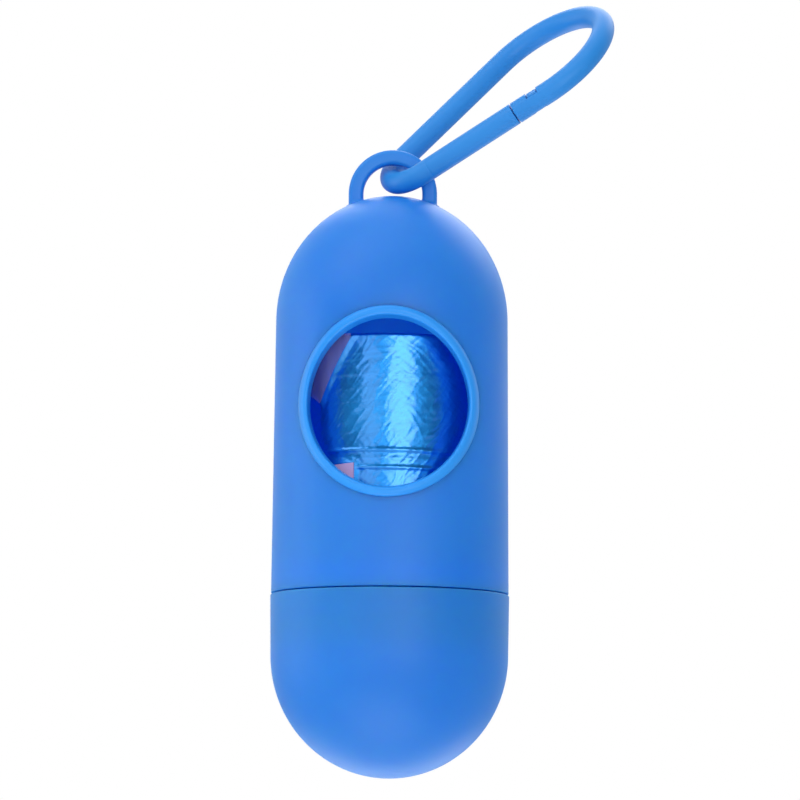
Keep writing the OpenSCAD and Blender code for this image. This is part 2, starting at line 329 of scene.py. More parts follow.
def new_material(name):
    material = bpy.data.materials.new(name)
    material.use_nodes = True
    nodes = material.node_tree.nodes
    return material, nodes, material.node_tree.links, nodes["Principled BSDF"]


def linear(rgb):
    """Display colour from 0 to 255 as linear values for a shader."""
    return tuple((c / 255 / 12.92) if c <= 10.3 else ((c / 255 + 0.055) / 1.055) ** 2.4 for c in rgb)


def noise_node(nodes, links, place, scale, detail=2.0):
    n = nodes.new("ShaderNodeTexNoise")
    n.inputs["Scale"].default_value = scale
    n.inputs["Detail"].default_value = detail
    links.new(place, n.inputs["Vector"])
    return n


def spread(nodes, links, source, low, high):
    """A number that runs from low to high with a noise."""
    n = nodes.new("ShaderNodeMapRange")
    n.inputs["From Min"].default_value = 0.3
    n.inputs["From Max"].default_value = 0.7
    n.inputs["To Min"].default_value = low
    n.inputs["To Max"].default_value = high
    links.new(source, n.inputs["Value"])
    return n.outputs["Result"]


def coloured(nodes, links, shader, noise, one, two):
    """Gives the shader a base colour that runs from one display colour to another with a noise."""
    share = spread(nodes, links, noise.outputs["Fac"], 0, 1)
    mix = nodes.new("ShaderNodeMix")
    mix.data_type = "RGBA"
    mix.inputs["A"].default_value = (*linear(one), 1)
    mix.inputs["B"].default_value = (*linear(two), 1)
    links.new(share, mix.inputs["Factor"])
    links.new(mix.outputs["Result"], shader.inputs["Base Color"])


def bumped(nodes, links, shader, height, distance, strength):
    bump = nodes.new("ShaderNodeBump")
    bump.inputs["Distance"].default_value = distance
    bump.inputs["Strength"].default_value = strength
    links.new(height, bump.inputs["Height"])
    links.new(bump.outputs["Normal"], shader.inputs["Normal"])


def moulded_plastic(name, dark, light, rough_low, rough_high, glow=0.0, grain_depth=0.000006):
    """Satin moulded plastic: faint clouds of colour, uneven gloss, fine grain. Glow lets light through."""
    material, nodes, links, shader = new_material(name)
    place = nodes.new("ShaderNodeTexCoord").outputs["Object"]
    cloud = noise_node(nodes, links, place, 45, 3)
    fine = noise_node(nodes, links, place, GRAIN_SCALE, 2)
    coloured(nodes, links, shader, cloud, dark, light)
    links.new(spread(nodes, links, cloud.outputs["Fac"], rough_low, rough_high), shader.inputs["Roughness"])
    bumped(nodes, links, shader, fine.outputs["Fac"], grain_depth, 0.5)
    shader.inputs["Specular IOR Level"].default_value = 0.4
    shader.inputs["Subsurface Weight"].default_value = glow
    shader.inputs["Subsurface Radius"].default_value = GLOW_RADIUS
    shader.inputs["Subsurface Scale"].default_value = GLOW_SCALE
    return material


def bag_film():
    """Thin shiny wrinkled film, as tinted metal, so that it is dark where it mirrors nothing bright."""
    material, nodes, links, shader = new_material("bag_film")
    place = nodes.new("ShaderNodeTexCoord").outputs["Object"]
    cloud = noise_node(nodes, links, place, 160, 4)
    coloured(nodes, links, shader, cloud, (12, 148, 246), (28, 162, 250))
    stretch = nodes.new("ShaderNodeMapping")
    stretch.inputs["Scale"].default_value = (1, 1, 0.35)
    links.new(place, stretch.inputs["Vector"])
    fine = noise_node(nodes, links, stretch.outputs["Vector"], 1500, 4)
    links.new(spread(nodes, links, cloud.outputs["Fac"], 0.34, 0.44), shader.inputs["Roughness"])
    bumped(nodes, links, shader, fine.outputs["Fac"], 0.00004, 0.6)
    shader.inputs["Metallic"].default_value = 1.0
    shader.inputs["Coat Weight"].default_value = 1.0
    shader.inputs["Coat Roughness"].default_value = 0.2
    shader.inputs["Coat IOR"].default_value = 1.6
    return material


def clear_tape():
    """Clear tape, greyish over the film, with faint streaks along it."""
    material, nodes, links, shader = new_material("clear_tape")
    place = nodes.new("ShaderNodeTexCoord").outputs["Object"]
    streak = nodes.new("ShaderNodeMapping")
    streak.inputs["Rotation"].default_value = (0, math.radians(TAPE_LEAN), 0)
    streak.inputs["Scale"].default_value = (1, 1, 0.1)
    links.new(place, streak.inputs["Vector"])
    fine = noise_node(nodes, links, streak.outputs["Vector"], 1200, 2)
    coloured(nodes, links, shader, fine, (130, 128, 190), (160, 158, 210))
    bumped(nodes, links, shader, fine.outputs["Fac"], 0.00001, 0.6)
    shader.inputs["Roughness"].default_value = 0.22
    shader.inputs["Alpha"].default_value = 0.3
    return material


def label_paper():
    """Thin matt paper, pinkish, with its fibres just showing."""
    material, nodes, links, shader = new_material("label_paper")
    place = nodes.new("ShaderNodeTexCoord").outputs["Object"]
    fibre = noise_node(nodes, links, place, 900, 5)
    cloud = noise_node(nodes, links, place, 220, 2)
    coloured(nodes, links, shader, cloud, (176, 150, 196), (190, 162, 206))
    bumped(nodes, links, shader, fibre.outputs["Fac"], 0.00001, 0.6)
    shader.inputs["Roughness"].default_value = 0.75
    return material


def cardboard():
    """Grey-brown wound board, with flecks and the line of its spiral seam."""
    material, nodes, links, shader = new_material("cardboard")
    place = nodes.new("ShaderNodeTexCoord").outputs["Object"]
    fleck = noise_node(nodes, links, place, 1400, 5)
    seam = nodes.new("ShaderNodeTexWave")
    seam.inputs["Scale"].default_value = 18
    seam.inputs["Distortion"].default_value = 0.4
    links.new(place, seam.inputs["Vector"])
    coloured(nodes, links, shader, fleck, (146, 118, 84), (186, 158, 120))
    bumped(nodes, links, shader, seam.outputs["Fac"], 0.00008, 0.4)
    shader.inputs["Roughness"].default_value = 0.9
    return material


# ---- Camera, light and floor ----

VIEW_RISE = -5.9  # degrees; the camera looks up at the object
VIEW_TURN = 1.8  # degrees; the camera stands a little to the right of the window's front
VIEW_ROLL = 0.44  # degrees; the object's top leans right in the picture
LENS, SENSOR = 300.0, 36.0
PICTURE = 800  # pixels a side
PIXELS_PER_MM = 6.42
AXIS_PIXEL = 391.3  # where the capsule's axis crosses the picture's middle row
BOTTOM_PIXEL = 776.4  # the row of the capsule's zero

ROOM_COLOUR = (0.93, 0.96, 1, 1)
ROOM_LIGHT, ROOM_MIRRORED = 0.62, 0.08  # strength of the room on the object, and where it is mirrored
# How far backwards a mirrored ray goes where the white backdrop starts to show in it, and shows fully
BACKDROP_FROM, BACKDROP_FULL = -0.2, 0.95
# Soft boxes: turn and rise in degrees, distance, width and height in metres, power in watts
LAMPS = (
    ("key", -55, 45, 0.8, 0.5, 0.5, 1.4),
    ("side", -92, 4, 0.8, 0.5, 0.6, 1.3),
    ("top", -10, 75, 0.8, 0.6, 0.6, 1.2),
    ("back", 165, 42, 0.9, 1.0, 0.6, 5.0),
    ("under", -10, -65, 0.6, 0.5, 0.5, 1.2),
    ("under_back", 180, -38, 0.9, 1.0, 0.5, 2.6),
    ("strip", 15, 5, 0.8, 0.46, 0.4, 1.75),
    ("wide", -24, 5, 0.8, 0.3, 0.5, 0.55),
)
FLOOR_DROP, FLOOR_REACH = 1.0, 40.0  # metres below the cap, and from the middle to each side
FLOOR_LIFT = 0.7  # how far towards white the camera sees the floor


def make_camera():
    """The camera at the photograph's angle. Returns the point that it looks at."""
    data = bpy.data.cameras.new("camera")
    data.lens, data.sensor_width = LENS, SENSOR
    camera = bpy.data.objects.new("camera", data)
    bpy.context.scene.collection.objects.link(camera)
    distance = PICTURE * LENS / (SENSOR * PIXELS_PER_MM)
    turn, rise = math.radians(VIEW_TURN), math.radians(VIEW_RISE)
    back = Vector((math.sin(turn) * math.cos(rise), -math.cos(turn) * math.cos(rise), math.sin(rise)))
    right = Vector((math.cos(turn), math.sin(turn), 0))
    up = right.cross(-back)
    height = (BOTTOM_PIXEL - PICTURE / 2) / PIXELS_PER_MM
    aside = (PICTURE / 2 - AXIS_PIXEL) / PIXELS_PER_MM
    target = AXIS + Vector((0, 0, height / math.cos(rise))) + right * aside
    roll = Matrix.Rotation(math.radians(VIEW_ROLL), 3, back)
    look = Matrix((roll @ right, roll @ up, back)).transposed().to_4x4()
    camera.matrix_world = Matrix.Translation((target + back * distance) * MM) @ look
    data.clip_start, data.clip_end = 0.05, 50
    bpy.context.scene.camera = camera
    return target * MM


def lamp(name, target, turn, rise, distance, width, height, power):
    """A soft box that faces the object from a direction in degrees."""
    data = bpy.data.lights.new(name, "AREA")
    data.shape, data.size, data.size_y = "RECTANGLE", width, height
    data.energy = power
    a, e = math.radians(turn), math.radians(rise)
    back = Vector((math.sin(a) * math.cos(e), -math.cos(a) * math.cos(e), math.sin(e)))
    obj = bpy.data.objects.new(name, data)
    bpy.context.scene.collection.objects.link(obj)
    obj.location = target + back * distance
    obj.rotation_mode = "QUATERNION"
    obj.rotation_quaternion = (-back).to_track_quat("-Z", "Y")
    return obj


def make_light(target):
    """The white backdrop and dim room as a world, and the soft boxes."""
    world = bpy.data.worlds.new("studio")
    bpy.context.scene.world = world
    world.use_nodes = True
    nodes, links = world.node_tree.nodes, world.node_tree.links
    nodes.clear()
    rays = nodes.new("ShaderNodeLightPath")
    light, white = nodes.new("ShaderNodeBackground"), nodes.new("ShaderNodeBackground")
    light.inputs["Color"].default_value = ROOM_COLOUR
    white.inputs["Color"].default_value = (1, 1, 1, 1)
    white.inputs["Strength"].default_value = 1

    # the white backdrop stands behind the object, and only mirrored rays that go there show it
    direction, split = nodes.new("ShaderNodeTexCoord"), nodes.new("ShaderNodeSeparateXYZ")
    links.new(direction.outputs["Generated"], split.inputs["Vector"])
    behind, mirrored = nodes.new("ShaderNodeMapRange"), nodes.new("ShaderNodeMath")
    behind.inputs["From Min"].default_value = BACKDROP_FROM
    behind.inputs["From Max"].default_value = BACKDROP_FULL
    links.new(split.outputs["Y"], behind.inputs["Value"])
    mirrored.operation = "MULTIPLY"
    links.new(behind.outputs["Result"], mirrored.inputs[0])
    links.new(rays.outputs["Is Glossy Ray"], mirrored.inputs[1])
    seen = mirrored.outputs[0]
    for kind in ("Is Camera Ray", "Is Transmission Ray"):
        either = nodes.new("ShaderNodeMath")
        either.operation = "MAXIMUM"
        links.new(seen, either.inputs[0])
        links.new(rays.outputs[kind], either.inputs[1])
        seen = either.outputs[0]

    # the room in front of it is dim where it is mirrored
    power = nodes.new("ShaderNodeMix")
    power.inputs["A"].default_value, power.inputs["B"].default_value = ROOM_LIGHT, ROOM_MIRRORED
    links.new(rays.outputs["Is Glossy Ray"], power.inputs["Factor"])
    links.new(power.outputs["Result"], light.inputs["Strength"])
    mix, out = nodes.new("ShaderNodeMixShader"), nodes.new("ShaderNodeOutputWorld")
    links.new(seen, mix.inputs["Fac"])
    links.new(light.outputs[0], mix.inputs[1])
    links.new(white.outputs[0], mix.inputs[2])
    links.new(mix.outputs[0], out.inputs["Surface"])
    for name, *place in LAMPS:
        lamp(name, target, *place)


def make_floor():
    """A plain pale floor, far below the hanging object."""
    mesh = bpy.data.meshes.new("floor")
    ways = ((-1, -1), (1, -1), (1, 1), (-1, 1))
    corners = [(x * FLOOR_REACH, y * FLOOR_REACH, cap_low.z - FLOOR_DROP) for x, y in ways]
    mesh.from_pydata(corners, [], [(0, 1, 2, 3)])
    floor = bpy.data.objects.new("floor", mesh)
    bpy.context.scene.collection.objects.link(floor)
    material, nodes, links, shader = new_material("floor")
    place = nodes.new("ShaderNodeTexCoord").outputs["Object"]
    cloud = noise_node(nodes, links, place, 6, 3)
    coloured(nodes, links, shader, cloud, (238, 239, 240), (244, 244, 244))
    shader.inputs["Roughness"].default_value = 0.7
    # the camera sees the floor nearly as white as the backdrop
    rays, white = nodes.new("ShaderNodeLightPath"), nodes.new("ShaderNodeEmission")
    mix, lift = nodes.new("ShaderNodeMixShader"), nodes.new("ShaderNodeMath")
    lift.operation = "MULTIPLY"
    links.new(rays.outputs["Is Camera Ray"], lift.inputs[0])
    lift.inputs[1].default_value = FLOOR_LIFT
    links.new(lift.outputs[0], mix.inputs["Fac"])
    links.new(shader.outputs["BSDF"], mix.inputs[1])
    links.new(white.outputs["Emission"], mix.inputs[2])
    links.new(mix.outputs["Shader"], nodes["Material Output"].inputs["Surface"])
    mesh.materials.append(material)


# ---- Capsule ----


def helical_ridge(base_r, low, high, start, outwards):
    """One start of the thread: a tapered rounded ridge that winds up from low to high."""
    turns = (high - low) / THREAD_LEAD
    count = int(turns * THREAD_STEPS)
    side = 1 if outwards else -1
    rings = []
    for i in range(count + 1):
        t = i / count
        turn = start + 2 * math.pi * turns * t
        ends = min(1, t * count / THREAD_RUN_OUT, (1 - t) * count / THREAD_RUN_OUT)
        rise = THREAD_H * (0.05 + 0.95 * math.sin(ends * math.pi / 2))
        z = low + (high - low) * t
        half = [
            (-side * THREAD_SUNK, -THREAD_W / 2), (0, -THREAD_W / 2),
            (side * rise * 0.7, -THREAD_W * 0.3), (side * rise, -THREAD_W * 0.14),
        ]
        section = half + [(d, -h) for d, h in reversed(half)]
        c, s = math.cos(turn), math.sin(turn)
        rings.append([((base_r + d) * c, (base_r + d) * s, z + h) for d, h in section])
    return swept(rings)


def thread(base_r, low, high, outwards, lift):
    """All starts of the thread; lift moves them along the axis without changing their ends."""
    parts = []
    for k in range(THREAD_STARTS):
        start = 2 * math.pi * (k / THREAD_STARTS + (low - lift) / THREAD_LEAD)
        parts.append(helical_ridge(base_r, low, high, start, outwards))
    return joined(*parts)


def eye_shape():
    """The arch on the dome: a rounded flat band whose feet flare into the dome."""
    across, deep = EYE_BAND / 2 - EYE_EDGE_R, EYE_DEPTH / 2 - EYE_EDGE_R
    section = []
    for sx, sy, start in ((1, 1, 0), (-1, 1, 90), (-1, -1, 180), (1, -1, 270)):
        for i in range(9):
            a = math.radians(start + 90 * i / 8)
            section.append((sx * across + EYE_EDGE_R * math.cos(a), sy * deep + EYE_EDGE_R * math.sin(a)))
    section = np.array(section)
    foot = dome_z(EYE_MID_R) - EYE_SUNK
    legs = np.linspace(foot, EYE_Z, 30)[:-1]
    rings = []
    for z in legs:
        rings.append([(EYE_MID_R + a, b, z) for a, b in section])
    for t in np.radians(np.linspace(0, 180, 97)):
        rings.append(
            [((EYE_MID_R + a) * math.cos(t), b, EYE_Z + (EYE_MID_R + a) * math.sin(t)) for a, b in section]
        )
    for z in legs[::-1]:
        rings.append([(-(EYE_MID_R + a), b, z) for a, b in section])
    points, faces = swept(rings)
    for side in (1, -1):
        near = (side * points[:, 0] > 0) & (points[:, 2] < EYE_Z)
        p = points[near]
        height = np.clip(p[:, 2] - dome_z(np.hypot(p[:, 0], p[:, 1])), 0, EYE_FOOT_R)
        flare = EYE_FOOT_R - np.sqrt(EYE_FOOT_R**2 - (EYE_FOOT_R - height) ** 2)
        away = p[:, :2] - np.array([side * EYE_MID_R, 0])
        away /= np.linalg.norm(away, axis=1)[:, None]
        p[:, :2] += away * flare[:, None]
        points[near] = p
    return points, faces


def make_shell(material, solid):
    """Dome, tube, window, eye and threaded neck. The thin eye and ridges have the solid material."""
    flare_z = BODY_Z + FLARE_RISE
    tube_z = flare_z + BODY_SEAM_R - BODY_WALL - NECK_BORE_R
    wall_foot, tube_foot = BODY_Z + 1, tube_z + 3  # where the plain wall starts, outside and inside
    outside = quarter(BODY_DOME_R, BODY_DOME_H, SHOULDER_Z, 90, 0)
    wall = [(body_r(z), z) for z in np.linspace(SHOULDER_Z, wall_foot, 40)[1:]]
    neck = rounded([
        (body_r(wall_foot), wall_foot), (BODY_SEAM_R, BODY_Z, SEAM_ROUND), (NECK_R, BODY_Z, EDGE_ROUND),
        (NECK_R, NECK_Z, EDGE_ROUND), (NECK_BORE_R, NECK_Z, EDGE_ROUND), (NECK_BORE_R, flare_z, 1),
        (body_r(tube_z) - BODY_WALL, tube_z, 1), (body_r(tube_foot) - BODY_WALL, tube_foot),
    ])
    inner = [(body_r(z) - BODY_WALL, z) for z in np.linspace(tube_foot, SHOULDER_Z, 40)[1:]]
    inside = quarter(BODY_DOME_R - BODY_WALL, BODY_DOME_H - BODY_WALL, SHOULDER_Z, 0, 90)
    outline = outside + wall + neck[1:] + inner + inside[1:]
    shell = piece("shell_moulding", revolved(outline), material)
    turn = np.radians(np.linspace(0, 360, 360, endpoint=False))
    hole = [
        [(HOLE_HALF_W * math.cos(t), y, WINDOW_Z + HOLE_HALF_H * math.sin(t)) for t in turn]
        for y in (-BODY_SEAM_R / 2, -1.5 * BODY_SEAM_R)
    ]
    cut(shell, swept(hole))
    cut(shell, eye_shape(), "UNION")
    winding = thread(NECK_R, NECK_Z + THREAD_FROM_FOOT, BODY_Z - THREAD_FROM_SEAM, True, 0)
    ridges = piece("neck_ridges", winding, material)
    for face in ridges.data.polygons:
        face.material_index = 1
    merge(shell, ridges)
    finish_mesh(shell)
    shell.data.materials.append(solid)
    for face in shell.data.polygons:
        x, y, z = face.center / MM - AXIS
        if z > dome_z(math.hypot(x, y)) + EDGE_ROUND / 2:
            face.material_index = 1
    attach(shell, "shell")
    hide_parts("body_shell")


def merge(obj, other):
    """Adds another object's mesh to obj."""
    bm = bmesh.new()
    bm.from_mesh(obj.data)
    bm.from_mesh(other.data)
    bm.to_mesh(obj.data)
    bm.free()
    bpy.data.objects.remove(other)


def make_cap(material, solid):
    """Domed cup with the thread inside its skirt, half a pitch from the neck's ridges."""
    inner_r, inner_h = CAP_DOME_R - CAP_WALL, CAP_DOME_H - CAP_WALL
    outside = quarter(CAP_DOME_R, CAP_DOME_H, CAP_DOME_H, 270, 360)
    rim = rounded([
        (CAP_DOME_R, CAP_DOME_H), (CAP_R, SEAM_Z, SEAM_ROUND), (SKIRT_BORE_R, SEAM_Z, SEAM_ROUND),
        (SKIRT_BORE_R, SKIRT_FOOT_Z, 0.3), (inner_r, CAP_DOME_H, 0.6),
    ])
    inside = quarter(inner_r, inner_h, CAP_DOME_H, 360, 270)
    outline = outside + rim[1:-1] + inside
    low, high = SKIRT_FOOT_Z + THREAD_FROM_FOOT, SEAM_Z - THREAD_FROM_SEAM
    ridges = thread(SKIRT_BORE_R, low, high, False, THREAD_LEAD / THREAD_STARTS / 2)
    body = revolved(outline)
    cap = piece("cap_moulding", joined(body, ridges), material)
    cap.data.materials.append(solid)
    for face in cap.data.polygons[len(body[1]):]:
        face.material_index = 1
    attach(cap, "cap")
    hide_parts("bottom_cap")


def make_ring(material):
    """The ring in the window: a bead that follows the body's curve, with a neck and a snap lip."""
    arc = [
        (RIM_W / 2 * math.cos(t), RIM_GAP + (RIM_RISE - RIM_GAP) * math.sin(t))
        for t in np.linspace(0, math.pi, 25)
    ]
    neck = [
        (-RIM_W / 2 - RIM_DRAFT, -BODY_WALL - RIM_LIP), (-RIM_GAP, -BODY_WALL - 2 * RIM_LIP),
        (RIM_LIP, -BODY_WALL - RIM_LIP), (RIM_LIP, -BODY_WALL - RIM_GAP),
        (-RIM_GAP, -BODY_WALL - RIM_GAP), (-RIM_GAP, RIM_GAP),
    ]
    rings = []
    for t in np.radians(np.linspace(0, 360, 300, endpoint=False)):
        away = Vector((HOLE_HALF_H * math.cos(t), HOLE_HALF_W * math.sin(t))).normalized()
        ring = []
        for out, up in arc + neck:
            x = HOLE_HALF_W * math.cos(t) + out * away.x
            z = WINDOW_Z + HOLE_HALF_H * math.sin(t) + out * away.y
            r = body_r(z) + up
            ring.append((x, -math.sqrt(r * r - x * x), z))
        rings.append(ring)
    ring = piece("window_ring", swept(rings, closed=True), material)
    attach(ring, "shell")
    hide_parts("window_rim")


# ---- Carabiner ----


def bend_stations(centre_x, radius, start, end, step=2.0):
    """Middle points and outward directions along a bend, in the carabiner's plane."""
    count = max(2, int(abs(end - start) / step))
    for a in np.radians(np.linspace(start, end, count + 1)):
        out = np.array([math.cos(a), math.sin(a), 0])
        yield np.array([centre_x, 0, 0]) + radius * out, out


def limb_stations(side, start, end, step=0.4):
    """The same along the spine (side 1) or the gate's limb (side -1), by distance from the small bend."""
    a = math.radians(LIMB_ANGLE)
    out = np.array([-math.sin(a), side * math.cos(a), 0])
    way = np.array([math.cos(a), side * math.sin(a), 0])
    count = max(1, int(abs(end - start) / step))
    for s in np.linspace(start, end, count + 1):
        yield SMALL_R * out + s * way, out


def rod_radius(turn):
    """Radius of the rod at a turn from its outward side, with the faint line where the mould's halves met."""
    return ROD_R - PARTING + PARTING * abs(math.cos(turn)) ** PARTING_POWER


def rod_ring(middle, out, turns, section):
    """Points round the rod's middle, by their turns from its outward side and their radii."""
    across = np.array([0, 0, 1.0])
    return [middle + r * (math.cos(a) * out + math.sin(a) * across) for a, r in zip(turns, section)]


def rod(stations):
    """A round rod through the stations."""
    turns = [2 * math.pi * k / ROD_SIDES for k in range(ROD_SIDES)]
    section = [rod_radius(a) for a in turns]
    points, faces = swept([rod_ring(middle, out, turns, section) for middle, out in stations])
    return clip_points(points), faces


def without_repeats(stations):
    """The stations, without those that lie on the one before."""
    kept = []
    for middle, out in stations:
        if not kept or np.linalg.norm(middle - kept[-1][0]) > 1e-6:
            kept.append((middle, out))
    return kept


def gate_block(low, high):
    """A box in the gate's own millimetres: x from its root to the nose, y into the loop."""
    a = math.radians(LIMB_ANGLE)
    way, into = np.array([math.cos(a), -math.sin(a), 0]), np.array([math.sin(a), math.cos(a), 0])
    root = GATE_ROOT * way - SMALL_R * into
    corners = [
        root + x * way + y * into + np.array([0, 0, z])
        for x in (low[0], high[0]) for y in (low[1], high[1]) for z in (low[2], high[2])
    ]
    faces = [(0, 1, 3, 2), (4, 6, 7, 5), (0, 4, 5, 1), (2, 3, 7, 6), (0, 2, 6, 4), (1, 5, 7, 3)]
    return clip_points(corners), faces


def soften(obj):
    """Rounds the sharp edges of the latch."""
    bevel = obj.modifiers.new("bevel", "BEVEL")
    bevel.limit_method, bevel.angle_limit = "ANGLE", math.radians(50)
    bevel.width, bevel.segments = LATCH_BEVEL * MM, 2
    bake_modifiers(obj)


def gate_shape(stub):
    """Root, limb, flat tongue and T-shaped head of the gate: one tube whose section changes."""
    floor, slim, far = LATCH_FLOOR - LATCH_GAP, ROD_R - TONGUE_INSET, 2 * ROD_R
    limb_end = GATE_ROOT + GATE_LEN - SHOULDER_GAP
    tongue_end = GATE_ROOT + GATE_LEN + TONGUE_LEN
    turns = set(np.linspace(0, 2 * math.pi, ROD_SIDES, endpoint=False))
    for half in (TONGUE_T / 2, HEAD_W / 2):
        for corner in (math.atan2(half, floor), math.pi - math.asin(half / slim)):
            turns |= {corner, 2 * math.pi - corner}
    turns = sorted(turns)

    def flat(half):
        """Radii of a slim round section that is cut at half a width to each side and at the latch's floor."""
        return [
            min(slim, half / max(abs(math.sin(a)), 1e-9), floor / math.cos(a) if math.cos(a) > 0.01 else far)
            for a in turns
        ]

    limb, tongue, head = [rod_radius(a) for a in turns], flat(TONGUE_T / 2), flat(HEAD_W / 2)
    path = [(station, limb) for station in limb_stations(-1, stub, limb_end, GATE_STEP)]
    ends = (limb_end, tongue), (tongue_end, tongue), (tongue_end, head), (tongue_end + HEAD_LEN, head)
    for place, section in ends:
        path.append((next(limb_stations(-1, place, place)), section))
    points, faces = swept([rod_ring(*station, turns, section) for station, section in path])
    return clip_points(points), faces


def make_clip(material):
    """The clip's frame with its slotted nose, and the gate."""
    tongue_end = GATE_LEN + TONGUE_LEN
    far = 2 * ROD_R
    slot_half = TONGUE_T / 2 + LATCH_GAP
    stub = GATE_ROOT - HINGE_REACH
    frame_path = without_repeats([
        *limb_stations(-1, GATE_ROOT + GATE_LEN, LIMB_LEN),
        *bend_stations(BEND_SPAN, WIDE_R, -90 - LIMB_ANGLE, 90 + LIMB_ANGLE),
        *limb_stations(1, LIMB_LEN, 0),
        *bend_stations(0, SMALL_R, 90 + LIMB_ANGLE, 270 - LIMB_ANGLE),
        *limb_stations(-1, 0, stub),
    ])
    clip = piece("clip_moulding", rod(frame_path), material)
    slot = (GATE_LEN - PAST, -LATCH_FLOOR, -slot_half), (tongue_end + LATCH_GAP, far, slot_half)
    pocket = (tongue_end - LATCH_GAP, -LATCH_FLOOR, -far), (tongue_end + HEAD_LEN + LATCH_GAP, far, far)
    for low, high in (slot, pocket):
        cut(clip, gate_block(low, high))
    soften(clip)
    finish_mesh(clip, 30)
    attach(clip, "carabiner")
    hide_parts("carabiner_frame")

    gate = piece("clip_gate", gate_shape(stub), material)
    soften(gate)
    finish_mesh(gate, 30)
    start, end = (next(limb_stations(-1, s, s))[0] for s in (stub + ROOT_HOLD, GATE_ROOT + HINGE_REACH))
    start, end = rows(clip_points([start, end]))
    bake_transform(gate)
    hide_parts("carabiner_gate")


# ---- Roll ----


def film_relief(x, z):
    """How far the film lies under its full radius, at x round the roll and z up it."""
    rising = creases(x, z, 52, 6.0, 0.75, 11)
    falling = creases(x, z, -38, 4.0, 0.6, 23)
    level = creases(x, z, 3, 12.0, 0.9, 37)
    patch = value_noise(x / 5, z / 6, 41)
    fine = creases(x, z, 44, 2.6, 0.45, 61)
    relief = 0.10 * rising**3 * patch + 0.05 * falling**3 * (1 - patch) + 0.03 * level**2 + 0.03 * fine**2
    swell = 0.08 * value_noise(x / 9, z / 11, 53)
    folds = 0
    for height, size in FILM_FOLDS:
        folds = folds + size * np.exp(-(((z - height - 0.15 * np.sin(x / 6)) / 0.28) ** 2))
    return np.clip(0.34 - relief - swell - folds, 0, 0.4)


def make_roll(material):
    """The wound film: a crinkled skin that ends in a free edge, and ends that show the turns."""
    sides, levels, turns = 560, 300, 48
    t = np.linspace(0, 1, sides + 1)
    free_edge = math.radians(270 - FILM_END_TURN)
    angle = free_edge + 2 * math.pi * t
    z = np.linspace(ROLL_Z, ROLL_TOP, levels + 1)
    a, h = np.meshgrid(angle, z)
    x = (a - free_edge) * ROLL_R
    under = film_relief(x, h)
    ends = np.clip(np.minimum(h - ROLL_Z, ROLL_TOP - h) / END_EDGE_H, 0, 1)
    smooth = covered(a, h)
    edge = END_EDGE_IN * (1 - np.sqrt(1 - (1 - ends) ** 2))
    radius = ROLL_R - FILM_LAP * t[None, :] - under * (1 - smooth) - edge
    wall = np.stack([radius * np.cos(a), radius * np.sin(a), h], -1)
    points, faces = wall.reshape(-1, 3), grid_faces(levels + 1, sides + 1, closed_count=False)
    row = sides + 1
    # the free edge: a strip from the outer lap in to the lap below it
    faces += [(i * row + sides, (i + 1) * row + sides, (i + 1) * row, i * row) for i in range(levels)]
    parts = [points]
    count = len(points)
    around = angle[:-1]
    for level, way in ((0, -1), (levels, 1)):
        first = level * row
        rings = [np.arange(first, first + row)]
        for k in range(turns + 1):
            r = ROLL_R - END_INSET + (CORE_R - ROLL_R + END_INSET) * k / turns
            wave = np.abs(np.sin(math.pi * (r / FILM_LAP / TURN_LAPS + t[:-1])))
            wound = TURN_DEPTH * wave - TURN_DEPTH
            parts.append(np.stack([r * np.cos(around), r * np.sin(around), z[level] + way * wound], -1))
            rings.append(np.arange(count, count + sides))
            count += sides
        one, two = rings[:2]
        faces += [(one[j], one[j + 1], two[(j + 1) % sides], two[j]) for j in range(1, sides)]
        faces.append((one[sides], one[0], one[1], two[1], two[0]))
        for one, two in zip(rings[1:], rings[2:]):
            faces += [(one[j], one[(j + 1) % sides], two[(j + 1) % sides], two[j]) for j in range(sides)]
        if level == 0:
            low_bore = rings[-1]
        else:
            bore = rings[-1]
            for j in range(sides):
                k = (j + 1) % sides
                faces.append((low_bore[j], low_bore[k], bore[k], bore[j]))
    roll = piece("film_roll", (np.concatenate(parts), faces), material, sharp=50)
    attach(roll, "roll")
    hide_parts("bag_roll")


def covered(angle, z):
    """1 where the tape or the label holds the film flat, 0 elsewhere."""
    turn = 270 - np.degrees(angle) % 360
    turn = (turn + 180) % 360 - 180
    beside, fade, lean_room = 3, 0.8, 2.5  # degrees beside the label, and millimetres round and under it
    on_label = (
        np.clip((turn - LABEL_TURN + beside) / beside, 0, 1)
        * np.clip((LABEL_END + beside - turn) / beside, 0, 1)
        * np.clip((LABEL_TOP - z + fade) / fade, 0, 1)
        * np.clip((z - LABEL_TOP + LABEL_H + lean_room) / fade, 0, 1)
    )
    a = math.radians(TAPE_LEAN)
    u, v = ROLL_R * np.sin(np.radians(TAPE_TURN - turn)), z - (ROLL_TOP - TAPE_DROP)
    reach = np.maximum(np.abs(u * math.cos(a) - v * math.sin(a)), np.abs(u * math.sin(a) + v * math.cos(a)))
    on_tape = np.clip((TAPE_SIZE / 2 + fade - reach) / fade, 0, 1)
    return np.maximum(on_label, on_tape)


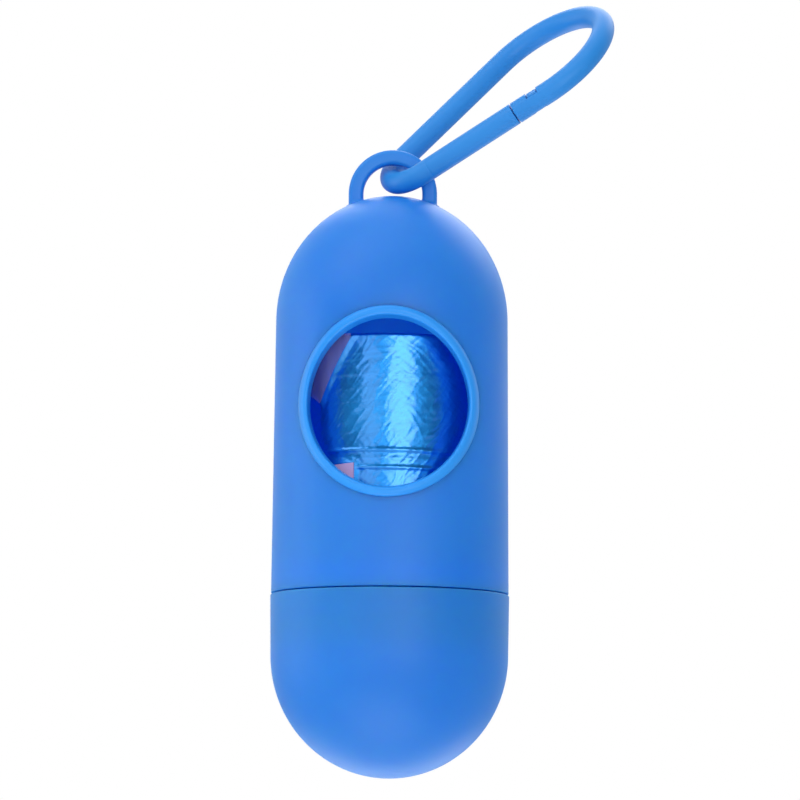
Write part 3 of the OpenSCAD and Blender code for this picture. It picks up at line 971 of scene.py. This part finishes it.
def wrapped(corner, steps_u, steps_v):
    """A thin closed sheet bent round the roll. corner(s, t) gives its turn from the front and its height."""
    def surface(lift):
        out = []
        for j in range(steps_v + 1):
            for i in range(steps_u + 1):
                turn, z = corner(i / steps_u, j / steps_v)
                r = ROLL_R + SHEET_GAP + lift
                a = math.radians(270 - turn)
                out.append((r * math.cos(a), r * math.sin(a), z))
        return out

    row, total = steps_u + 1, (steps_u + 1) * (steps_v + 1)
    top = grid_faces(steps_v + 1, row, closed_count=False)
    bottom = [tuple(i + total for i in reversed(f)) for f in top]
    edge = (
        list(range(row))
        + [row * j + steps_u for j in range(1, steps_v + 1)]
        + [row * steps_v + i for i in range(steps_u - 1, -1, -1)]
        + [row * j for j in range(steps_v - 1, 0, -1)]
    )
    sides = [(a, b, b + total, a + total) for a, b in zip(edge, edge[1:] + edge[:1])]
    return surface(SHEET_T) + surface(0), top + bottom + sides


def make_label(material):
    """The bare paper label, whose top and bottom edges lean."""
    def corner(s, t):
        turn = LABEL_TURN + (LABEL_END - LABEL_TURN) * s
        drop = ROLL_R * math.sin(math.radians(turn - LABEL_TURN)) * math.tan(math.radians(LABEL_LEAN))
        return turn, LABEL_TOP - drop - LABEL_H * t

    label = piece("bare_label", wrapped(corner, 64, 24), material)
    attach(label, "roll")
    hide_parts("paper_label")


def tape_spans():
    """The tape's outline on the unrolled film, as (distance from its middle, lowest, highest) across it."""
    a = math.radians(TAPE_LEAN)
    half = TAPE_SIZE / 2
    corners = [
        (u * math.cos(a) + v * math.sin(a), -u * math.sin(a) + v * math.cos(a))
        for u, v in ((-half, -half), (half, -half), (half, half), (-half, half))
    ]
    edges = list(zip(corners, corners[1:] + corners[:1]))
    reach = max(c[0] for c in corners) - 0.005
    across = set(np.linspace(-reach, reach, 49)) | {c[0] for c in corners if abs(c[0]) < reach}
    for x in sorted(across):
        crossed = [(p, q) for p, q in edges if (p[0] - x) * (q[0] - x) <= 0]
        hits = [p[1] + (q[1] - p[1]) * (x - p[0]) / (q[0] - p[0]) for p, q in crossed]
        if min(hits) < TAPE_DROP:
            yield x, min(hits), min(max(hits), TAPE_DROP)


def make_tape(material):
    """The square of clear tape, trimmed at the roll's top."""
    spans = list(tape_spans())

    def corner(s, t):
        x, low, high = spans[round(s * (len(spans) - 1))]
        return TAPE_TURN - math.degrees(math.asin(x / ROLL_R)), ROLL_TOP - TAPE_DROP + high + (low - high) * t

    tape = piece("tape_square", wrapped(corner, len(spans) - 1, 24), material)
    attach(tape, "roll")
    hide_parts("tail_tape")


# ---- The scene ----

bpy.context.scene.view_settings.view_transform = "Standard"
target = make_camera()
make_light(target)
make_floor()

shell_plastic = moulded_plastic("shell_plastic", (20, 120, 228), (28, 126, 231), 0.44, 0.52, glow=1.0)
rim_plastic = moulded_plastic("rim_plastic", (30, 142, 234), (38, 148, 238), 0.34, 0.42)
clip_plastic = moulded_plastic(
    "clip_plastic", (26, 126, 208), (34, 134, 214), 0.42, 0.50, grain_depth=0.000003
)
solid_plastic = moulded_plastic("solid_plastic", (24, 124, 214), (32, 132, 220), 0.40, 0.48)
make_shell(shell_plastic, solid_plastic)
make_cap(shell_plastic, solid_plastic)
make_ring(rim_plastic)
make_clip(clip_plastic)
make_roll(bag_film())
make_label(label_paper())
make_tape(clear_tape())
core = frame["nodes"]["roll_core"]
core.data.materials.clear()
core.data.materials.append(cardboard())
